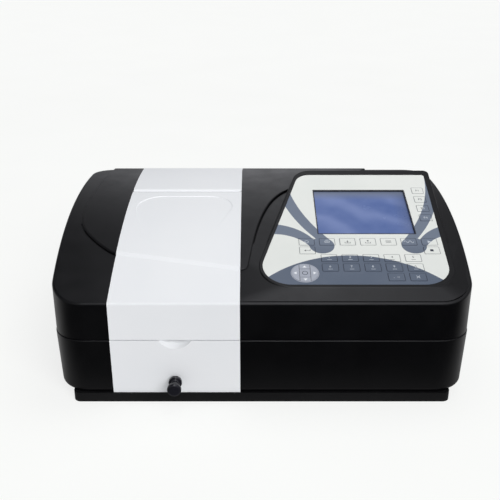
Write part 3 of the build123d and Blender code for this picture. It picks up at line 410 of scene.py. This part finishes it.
# ---- pieces that ride on the model's bodies --------------------------------------------------
def riding(name, mesh, body, material):
    """A piece made of a bmesh whose places are already in metres."""
    data = bpy.data.meshes.new(name)
    mesh.to_mesh(data)
    mesh.free()
    data.materials.append(material)
    made = bpy.data.objects.new(name, data)
    bpy.context.collection.objects.link(made)
    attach(made, body)
    return made


def finish_mesh(name, mesh, body, material):
    """The same, with the faces turned outwards first."""
    bmesh.ops.recalc_face_normals(mesh, faces=mesh.faces[:])
    return riding(name, mesh, body, material)


# ---- flat printed pieces ---------------------------------------------------------------------
class Print:
    """Flat inked shapes gathered into one thin piece. Places are in millimetres on its plane."""

    def __init__(self):
        self.mesh = bmesh.new()

    def ribbon(self, points, width, closed=False):
        """A line of the given width through the points."""
        count = len(points)
        half = width / 2
        sides = []
        for i, point in enumerate(points):
            before = Vector(points[i - 1]) if (i or closed) else Vector(point)
            after = Vector(points[(i + 1) % count]) if (i < count - 1 or closed) else Vector(point)
            here = Vector(point)
            b = (after - here).normalized()
            a = (here - before).normalized() if (here - before).length else b
            b = b if (after - here).length else a
            along = (a + b).normalized()
            out = Vector((-along.y, along.x))
            reach = half / max(0.5, out.dot(Vector((-a.y, a.x))))
            sides.append((self.vert(here + out * reach), self.vert(here - out * reach)))
        pairs = zip(sides, sides[1:] + sides[:1]) if closed else zip(sides, sides[1:])
        for (a, b), (c, d) in pairs:
            self.mesh.faces.new((b, d, c, a))

    def vert(self, place):
        return self.mesh.verts.new((place[0], place[1], 0))

    def patch(self, points):
        self.mesh.faces.new([self.vert(p) for p in points])

    def frame(self, width, height, radius, line):
        self.ribbon(rounded(width, height, radius), line, closed=True)

    def ring(self, radius, line, steps=32):
        self.ribbon(circle(radius, steps), line, closed=True)

    def words(self, text, height, x=0.0, y=0.0):
        """Letters centred on x, y, from the built-in font."""
        curve = bpy.data.curves.new("letters", "FONT")
        curve.body = text
        curve.align_x, curve.align_y = "CENTER", "CENTER"
        curve.size = height * FONT_SCALE
        curve.resolution_u = 3
        holder = bpy.data.objects.new("letters", curve)
        flat = bpy.data.meshes.new_from_object(holder)
        flat.transform(Matrix.Translation((x, y, 0)))
        self.mesh.from_mesh(flat)
        bpy.data.objects.remove(holder)
        bpy.data.curves.remove(curve)
        bpy.data.meshes.remove(flat)

    def piece(self, name, origin, body, material, normal=NORMAL, uphill=UPHILL, thick=INK):
        """Thickens the shapes and lays them on the plane at origin."""
        bmesh.ops.recalc_face_normals(self.mesh, faces=self.mesh.faces[:])
        for face in self.mesh.faces:
            if face.normal.z < 0:
                face.normal_flip()
        raised = bmesh.ops.extrude_face_region(self.mesh, geom=self.mesh.faces[:])
        tops = [g for g in raised["geom"] if isinstance(g, bmesh.types.BMVert)]
        bmesh.ops.translate(self.mesh, verts=tops, vec=(0, 0, thick / MM))
        bmesh.ops.recalc_face_normals(self.mesh, faces=self.mesh.faces[:])
        across = uphill.cross(normal)
        turn = Matrix((across, uphill, normal)).transposed().to_4x4()
        self.mesh.transform(Matrix.Translation(origin) @ turn @ Matrix.Scale(MM, 4))
        return riding(name, self.mesh, body, material)


def circle(radius, steps):
    """Points of a circle about the origin."""
    turns = [2 * pi * i / steps for i in range(steps)]
    return [(radius * cos(turn), radius * sin(turn)) for turn in turns]


def rounded(width, height, radius, steps=4):
    """Points of a rectangle with round corners."""
    points = []
    for i, (sx, sy) in enumerate(((1, 1), (-1, 1), (-1, -1), (1, -1))):
        for k in range(steps + 1):
            angle = pi / 2 * (i + k / steps)
            points.append((sx * (width / 2 - radius) + radius * cos(angle),
                           sy * (height / 2 - radius) + radius * sin(angle)))
    return points


# ---- legends of the keys ---------------------------------------------------------------------
LINE = 0.55                              # width of the legends' lines
KEY_FRAME = (18.8, 13.5)                 # outline printed on a key
FUNCTION_FRAME = (15.1, 13.5)            # and on the narrower function keys
PAD_ARROWS = {"key_up": (0, 1), "key_down": (0, -1), "key_left": (-1, 0), "key_right": (1, 0)}


def draw_circle(p):
    p.ring(2.2, LINE, 20)


def draw_sheet(p):
    p.frame(5.6, 3.0, 0.3, LINE)
    p.ribbon([(-1.7, 3.2), (1.7, 3.2)], LINE)
    p.ribbon([(-1.7, -0.2), (1.7, -0.2)], LINE)


def draw_tray(p, up):
    p.ribbon([(-3.2, -0.6), (-3.2, -2.6), (3.2, -2.6), (3.2, -0.6)], LINE)
    p.ribbon([(0, -1.2), (0, 2.8)], LINE)
    tip = 3.4 if up else -1.6
    back = tip - 1.8 if up else tip + 1.8
    p.patch([(0, tip), (1.5, back), (-1.5, back)])


def draw_bars(p):
    for y in (-1.9, 0.0, 1.9):
        p.ribbon([(-3.4, y), (3.4, y)], LINE)


def draw_wave(p):
    p.ribbon([(x * 0.5, 2.0 * sin(x * 0.5 * 1.05)) for x in range(-12, 13)], LINE)


def draw_play(p):
    p.patch([(-2.0, -2.4), (2.6, 0), (-2.0, 2.4)])


def draw_stop(p):
    p.patch([(-2.0, -2.0), (2.0, -2.0), (2.0, 2.0), (-2.0, 2.0)])


def draw_return(p):
    p.ribbon([(3.4, 2.2), (3.4, -0.4), (-2.0, -0.4)], LINE)
    p.patch([(-4.0, -0.4), (-1.8, 1.2), (-1.8, -2.0)])


def draw_cross(p):
    p.ribbon([(-2.2, -2.2), (2.2, 2.2)], LINE)
    p.ribbon([(-2.2, 2.2), (2.2, -2.2)], LINE)


def draw_sign(p):
    p.words(".  –", 4.2)


LEGENDS = {
    "key_zero": draw_circle,
    "key_print": draw_sheet,
    "key_load": lambda p: draw_tray(p, False),
    "key_save": lambda p: draw_tray(p, True),
    "key_set": draw_bars,
    "key_mode": draw_wave,
    "key_start": draw_play,
    "key_enter": draw_return,
    "key_stop": draw_stop,
    "key_sign": draw_sign,
    "key_clear": draw_cross,
}


def draw_digit(p, digit):
    p.words(digit, 3.6, 0, 1.6)
    p.ribbon([(-2.6, -3.0), (2.6, -3.0)], LINE)


def key_legends(made):
    """A frame line and a legend on each rectangular key."""
    for node in NODES:
        if not node.startswith("key_") or node in PAD_ARROWS or node == "key_ok":
            continue
        top = centre(node) + NORMAL * KEY_TOP
        function_key = node[4] == "f"
        outline = Print()
        outline.frame(*(FUNCTION_FRAME if function_key else KEY_FRAME), 1.0, 0.5)
        outline.piece(f"frame_{node}", top, node, made["outline"])
        legend = Print()
        if node in LEGENDS:
            LEGENDS[node](legend)
        elif function_key:
            legend.words(node[4:].upper(), 4.0)
        else:
            draw_digit(legend, node[4:])
        legend.piece(f"legend_{node}", top, node, made["legend"])


ARROW_TIP, ARROW_BACK, ARROW_WING = 0.86, 0.63, 0.15      # of the pad's radius
RING_RADIUS, RING_LINE = 0.2, 0.7
RIM_OUT, RIM_LINE, RIM_SINK = 0.7, 0.8, 0.2


def pad_legends(made):
    """White arrows on the cursor keys, and a ring on the middle one."""
    top = PAD + NORMAL * KEY_TOP
    for node, (dx, dy) in PAD_ARROWS.items():
        arrow = Print()
        tip, back, wing = ARROW_TIP * PAD_R, ARROW_BACK * PAD_R, ARROW_WING * PAD_R
        arrow.patch([(dx * tip, dy * tip), (dx * back - dy * wing, dy * back + dx * wing),
                     (dx * back + dy * wing, dy * back - dx * wing)])
        arrow.piece(f"arrow_{node}", top, node, made["arrow"])
    middle = Print()
    middle.ring(RING_RADIUS * PAD_R, RING_LINE, 24)
    middle.piece("ring_key_ok", top, "key_ok", made["outline"])
    rim = Print()
    rim.ring(PAD_R + RIM_OUT, RIM_LINE, 64)
    face = PAD + NORMAL * (KEY_TOP - RIM_SINK * MM)
    rim.piece("cursor_pad_rim", face, "chassis", made["silver"])


# ---- small fittings --------------------------------------------------------------------------
WINDOW = (121.6, 96.0)                   # the display's window in the overlay
WINDOW_FROM_PAD = (81.8, 123.5)          # its middle, across and up from the cursor pad's
FILM_OVER_PAD = 0.55                     # the overlay's face over the middle of the keys
WINDOW_DEPTH = 2.05                      # from the overlay's face down to the glass
WINDOW_LINE, WINDOW_LINER = 0.9, 0.4     # widths of the printed line and of the liner


def display_mask(made):
    """Black line round the window, and a black liner down its walls to the glass."""
    across, up = WINDOW_FROM_PAD
    face = PAD + (ACROSS * across + UPHILL * up + NORMAL * FILM_OVER_PAD) * MM
    line = Print()
    line.frame(WINDOW[0] + 1.0, WINDOW[1] + 1.0, 0.6, WINDOW_LINE)
    line.piece("display_line", face, "chassis", made["dark"])
    liner = Print()
    liner.frame(WINDOW[0] - 0.5, WINDOW[1] - 0.5, 0.4, WINDOW_LINER)
    liner.piece("display_liner", face - NORMAL * (WINDOW_DEPTH * MM), "chassis", made["dark"],
                thick=(WINDOW_DEPTH - 0.02) * MM)


# Section of the grey strip that stands in for the hinge groove's shade: (behind the trim's front
# edge, over the hinge's axis) in millimetres.
SHADE_STRIP_CORNERS = ((-0.25, 1.2), (-0.25, 4.5), (0.9, 4.7), (0.2, 3.3), (-0.03, 1.6))


def hinge_groove_shade(made):
    """Grey felt strip on the trim's front edge, laid into the hinge's groove as painted shade so
    that the groove reads as a soft grey line.
    """
    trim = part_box("rear_trim")
    front, axis_z = trim[0][1], centre("hinge_rod").z
    outline = [(front + back * MM, axis_z + up * MM) for back, up in SHADE_STRIP_CORNERS]
    mesh = bmesh.new()
    ends = [[mesh.verts.new((x, *place)) for place in outline] for x in (trim[0][0], trim[1][0])]
    for i in range(len(outline)):
        k = (i + 1) % len(outline)
        mesh.faces.new((ends[0][i], ends[0][k], ends[1][k], ends[1][i]))
    mesh.faces.new(ends[0][::-1])
    mesh.faces.new(ends[1])
    finish_mesh("hinge_groove_shade", mesh, "chassis", made["shade_felt"])


def pins(mesh, places, radius, y_low, y_high, sides):
    """Round-tipped pins along Y at the given x and z, in metres."""
    steps = [(y_low, 1.0), (y_high - radius, 1.0), (y_high - 0.3 * radius, 0.75), (y_high, 0.3)]
    for x, z in places:
        rings = []
        for y, scale in steps:
            ring = circle(radius * scale, sides)
            rings.append([mesh.verts.new((x + dx, y, z + dz)) for dx, dz in ring])
        for near, far in zip(rings, rings[1:]):
            for i in range(sides):
                k = (i + 1) % sides
                mesh.faces.new((near[i], near[k], far[k], far[i]))
        mesh.faces.new(rings[0][::-1])
        mesh.faces.new(rings[-1])


# The two data sockets, in millimetres. Depths are measured outwards from the rear wall.
PORTS_PROUD = 2.4                        # how far the sockets stand out of the wall
SERIAL_HALF, USB_HALF = 15.4, 8.5        # from each socket's outer side to its middle
SERIAL_PITCH = 2.76
SERIAL_ROWS = ((5, 1.42), (4, -1.42))    # pins in a row, and the row's height over the middle
POST_SPREAD = 12.5
USB_ACROSS, USB_UP = 1.25, 1.7
SERIAL_PIN = (0.5, -3.2, 1.9)            # radius, inner depth and outer depth
SERIAL_POST = (2.5, 0.7, 3.1)
USB_CONTACT = (0.35, -9.2, -2.0)


def port_fittings(made):
    """Gold pins and hexagonal posts of the serial socket, and the contacts of the square one."""
    low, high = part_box("data_ports")
    wall = high[1] - PORTS_PROUD * MM
    z = (low[2] + high[2]) / 2
    serial_x, usb_x = low[0] + SERIAL_HALF * MM, high[0] - USB_HALF * MM

    def fitting(name, places, sizes, sides, metal_name):
        radius, inner, outer = sizes
        mesh = bmesh.new()
        pins(mesh, places, radius * MM, wall + inner * MM, wall + outer * MM, sides)
        finish_mesh(name, mesh, "chassis", made[metal_name])

    rows = [(serial_x + (i - (count - 1) / 2) * SERIAL_PITCH * MM, z + up * MM)
            for count, up in SERIAL_ROWS for i in range(count)]
    posts = [(serial_x + side * POST_SPREAD * MM, z) for side in (-1, 1)]
    contacts = [(usb_x + dx * MM, z + dz * MM)
                for dx in (-USB_ACROSS, USB_ACROSS) for dz in (-USB_UP, USB_UP)]
    fitting("serial_pins", rows, SERIAL_PIN, 12, "gold")
    fitting("serial_posts", posts, SERIAL_POST, 6, "steel")
    fitting("usb_contacts", contacts, USB_CONTACT, 8, "gold")


CELL_COUNT = 4
CELL_PITCH = 18.0
CELL_FIRST = 12.0                        # middle of the first slot, from the carriage's front
CELL_NUMBER_ASIDE = 15.0                 # the numbers stand this far left of the slots
CELL_NUMBER_HEIGHT = 5.0


def cell_numbers(made):
    """Numbers beside the four cell slots, on the carriage's top."""
    low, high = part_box("cell_carriage")
    x = (low[0] + high[0]) / 2 - CELL_NUMBER_ASIDE * MM
    for i in range(CELL_COUNT):
        number = Print()
        number.words(str(i + 1), CELL_NUMBER_HEIGHT)
        place = Vector((x, low[1] + (CELL_FIRST + CELL_PITCH * i) * MM, high[2]))
        number.piece(f"cell_number_{i + 1}", place, "cell_changer", made["arrow"],
                     normal=Vector((0, 0, 1)), uphill=Vector((0, 1, 0)))


SWITCH_TILT = 10.0                       # degrees that the rocker leans at rest
ROCKER_SLOPE = radians(18.4)             # how far each half of the rocker's face is turned
MARK_OUT, MARK_UP = 5.92, 2.1            # from the rocker's axis to the middle of a mark


def switch_marks(made):
    """The line and the ring that mark on and off, each on its half of the rocker."""
    pivot = Vector(JOINTS["power_switch_rock"]["pos_m"])
    turn = Matrix.Rotation(radians(SWITCH_TILT), 3, "X")
    for name, side in (("on", 1), ("off", -1)):
        mark = Print()
        if side > 0:
            mark.ribbon([(0, -1.2), (0, 1.2)], 0.6)
        else:
            mark.ring(1.1, 0.5, 20)
        out = turn @ Vector((0, cos(ROCKER_SLOPE), -side * sin(ROCKER_SLOPE)))
        up = turn @ Vector((0, side * sin(ROCKER_SLOPE), cos(ROCKER_SLOPE)))
        place = pivot + turn @ Vector((0, MARK_OUT, side * MARK_UP)) * MM
        mark.piece(f"switch_{name}_mark", place, "power_rocker", made["arrow"],
                   normal=out, uphill=up)


# ---- stage -----------------------------------------------------------------------------------
def ray_switch(s, kind, seen, mirrored):
    """One shader for the camera and most rays, another for one kind of bounced ray."""
    rays = s.add("ShaderNodeLightPath")
    blend = s.add("ShaderNodeMixShader")
    s.feed(blend.inputs[0], rays.outputs[kind])
    s.feed(blend.inputs[1], seen)
    s.feed(blend.inputs[2], mirrored)
    return blend.outputs[0]


FLOOR_SIZE = 24.0
FLOOR_GLOW = (0.77, 0.79)                # near and far
GLOW_DEPTHS = (0.5, 3.0)                 # where the near glow ends and the far one begins
FLOOR_DROP = 0.2 * MM                    # the floor lies this far under the feet
FLOOR_BOUNCE = 0.60                      # light that it throws back at the instrument
FLOOR_MIRRORED_NEAR, FLOOR_MIRRORED_FAR = 0.0, 0.50
FLOOR_DEPTHS = (-0.23, -0.07)            # between these the mirrored floor brightens


def floor():
    """The pale table that the instrument stands on."""
    bpy.ops.mesh.primitive_plane_add(size=FLOOR_SIZE)
    ground = bpy.context.object
    ground.name = "floor"
    ground.location.z = -FLOOR_DROP
    s = Shader("floor", Specular_IOR_Level=0.0, Roughness=0.9)
    depth = s.dot(s.place, (0, 1, 0))
    s.feed(s.bsdf.inputs["Emission Strength"], s.span(depth, *FLOOR_GLOW, *GLOW_DEPTHS))
    s.bsdf.inputs["Emission Color"].default_value = (1, 1, 1, 1)
    s.color(s.mix(s.span(s.noise(3.0, 2.0), 0.0, 1.0), (0.21, 0.22, 0.205), (0.225, 0.235, 0.22)))
    # mirrored in the casing, the table is darker than it looks, as a real bench is
    dim = s.add("ShaderNodeEmission")
    mirrored = s.span(depth, FLOOR_MIRRORED_NEAR, FLOOR_MIRRORED_FAR, *FLOOR_DEPTHS)
    s.feed(dim.inputs["Strength"], mirrored)
    surface = ray_switch(s, "Is Glossy Ray", s.bsdf.outputs[0], dim.outputs[0])
    # and it throws back less light, so that the front is lit from the front
    bounce = s.add("ShaderNodeEmission")
    bounce.inputs["Strength"].default_value = FLOOR_BOUNCE
    surface = ray_switch(s, "Is Diffuse Ray", surface, bounce.outputs[0])
    s.feed(s.tree.nodes["Material Output"].inputs["Surface"], surface)
    ground.data.materials.append(s.material)


def lamp(name, place, target, size, radiance):
    """A rectangular softbox of the given brightness."""
    data = bpy.data.lights.new(name, "AREA")
    data.shape = "RECTANGLE"
    data.size, data.size_y = size
    data.energy = radiance * pi * size[0] * size[1]
    light = bpy.data.objects.new(name, data)
    light.location = place
    light.rotation_euler = (Vector(target) - Vector(place)).to_track_quat("-Z", "Y").to_euler()
    bpy.context.collection.objects.link(light)


class Sky(Shader):
    """The world's node tree, with the same short calls."""

    def __init__(self, name):
        self.world = bpy.data.worlds.new(name)
        self.world.use_nodes = True
        self.tree = self.world.node_tree
        self.place = self.add("ShaderNodeTexCoord").outputs["Generated"]


SKY_POWER = 0.36
BACKDROP = 0.93                          # brightness of the backdrop that the camera sees
SKY_COLOR = (0.97, 0.985, 1.0, 1)
ROOM_COLOR = (0.94, 0.95, 1.0, 1)
ROOM_LEFT, ROOM_RIGHT = 0.32, 0.25       # how bright the room's sides are beside its middle
ROOM_LEFT_SIDES, ROOM_RIGHT_SIDES = (-0.24, -0.10), (0.06, 0.24)
WALL_POWER, CEILING_POWER = 0.74, 0.10   # brightness of the mirrored room's walls and ceiling
WALL_HEIGHTS = (0.40, 0.80)              # sines of the elevations where the walls end
LIT_POWER = 0.42                         # of the ceiling's lit part, from these elevations up
LIT_HEIGHTS = (0.45, 0.75)
LIT_SIDES = (-0.20, 0.00)                # and across, so that its left is dim
OVER_POWER = 3.4                         # of the light over the camera
OVER_AHEAD = (-0.7, 0.8)                 # it grows between these, from the back to the front,
OVER_HEIGHTS = (0.35, 0.75)              # from the horizon to the zenith
OVER_SIDES = (-0.13, -0.07)              # and from the left to the middle


def sky():
    """Even soft light, and a pale room that the casing mirrors, brightest over the camera."""
    s = Sky("studio")
    even = s.tree.nodes["Background"]
    even.inputs["Color"].default_value = SKY_COLOR
    even.inputs["Strength"].default_value = SKY_POWER
    aside = s.dot(s.place, (1, 0, 0))
    ahead = s.dot(s.place, (0, -1, 0))
    height = s.dot(s.place, (0, 0, 1))
    walls = s.span(height, WALL_POWER, CEILING_POWER, *WALL_HEIGHTS)
    over = s.span(ahead, 0.0, OVER_POWER, *OVER_AHEAD)
    over = s.math("MULTIPLY", over, s.span(height, 0.0, 1.0, *OVER_HEIGHTS))
    over = s.math("MULTIPLY", over, s.span(aside, 0.0, 1.0, *OVER_SIDES))
    lit = s.span(height, 0.0, LIT_POWER, *LIT_HEIGHTS)
    lit = s.math("MULTIPLY", lit, s.span(aside, 0.0, 1.0, *LIT_SIDES))
    room = s.math("ADD", walls, s.math("ADD", lit, over))
    room = s.math("MULTIPLY", room, s.span(aside, ROOM_LEFT, 1.0, *ROOM_LEFT_SIDES))
    room = s.math("MULTIPLY", room, s.span(aside, 1.0, ROOM_RIGHT, *ROOM_RIGHT_SIDES))
    mirrored = s.add("ShaderNodeBackground")
    mirrored.inputs["Color"].default_value = ROOM_COLOR
    s.feed(mirrored.inputs["Strength"], room)
    surface = ray_switch(s, "Is Glossy Ray", even.outputs[0], mirrored.outputs[0])
    backdrop = s.add("ShaderNodeBackground")
    backdrop.inputs["Strength"].default_value = BACKDROP
    surface = ray_switch(s, "Is Camera Ray", surface, backdrop.outputs[0])
    s.feed(s.tree.nodes["World Output"].inputs["Surface"], surface)
    bpy.context.scene.world = s.world


SUN_POWER = 2.12
SUN_FROM = (0.32, -0.60, 0.42)           # the direction that the daylight comes from
SUN_ANGLE = 40.0                         # its width in degrees, which softens the shadows
OVERHEAD_PLACE, OVERHEAD_TARGET = (0.17, 0.13, 1.15), (0.17, 0.10, 0.1)
OVERHEAD_SIZE = (0.66, 0.56)
OVERHEAD_RADIANCE = 2.7


def studio():
    """The floor, the sky, a softbox over the console and broad daylight from the front right."""
    floor()
    sky()
    lamp("overhead", OVERHEAD_PLACE, OVERHEAD_TARGET, OVERHEAD_SIZE, OVERHEAD_RADIANCE)
    bpy.data.objects["overhead"].visible_glossy = False
    sun = bpy.data.lights.new("daylight", "SUN")
    sun.energy = SUN_POWER
    sun.angle = radians(SUN_ANGLE)
    light = bpy.data.objects.new("daylight", sun)
    light.rotation_euler = Vector(SUN_FROM).to_track_quat("Z", "Y").to_euler()
    light.visible_glossy = False
    bpy.context.collection.objects.link(light)
    bpy.context.scene.view_settings.view_transform = "Standard"


CAMERA_PITCH = 22.0          # degrees below the horizon
CAMERA_BACK = 0.7473         # ahead of the body's front face
CAMERA_UP = 0.4976
CAMERA_X = -0.0147
CAMERA_LENS = 53.06
CAMERA_SENSOR = 36
CAMERA_SHIFT = 0.0012
CAMERA_CLIP = (0.05, 60)


def camera():
    """The view of the instrument from the front and a little above."""
    data = bpy.data.cameras.new("camera")
    data.lens = CAMERA_LENS
    data.sensor_width = CAMERA_SENSOR
    data.clip_start, data.clip_end = CAMERA_CLIP
    data.shift_x = CAMERA_SHIFT
    view = bpy.data.objects.new("camera", data)
    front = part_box("upper_cover")[0][1]
    view.location = (CAMERA_X, front - CAMERA_BACK, CAMERA_UP)
    view.rotation_euler = (radians(90 - CAMERA_PITCH), 0, 0)
    bpy.context.collection.objects.link(view)
    bpy.context.scene.camera = view


camera()
materials = make_materials()
key_legends(materials)
pad_legends(materials)
display_mask(materials)
hinge_groove_shade(materials)
port_fittings(materials)
cell_numbers(materials)
switch_marks(materials)
studio()
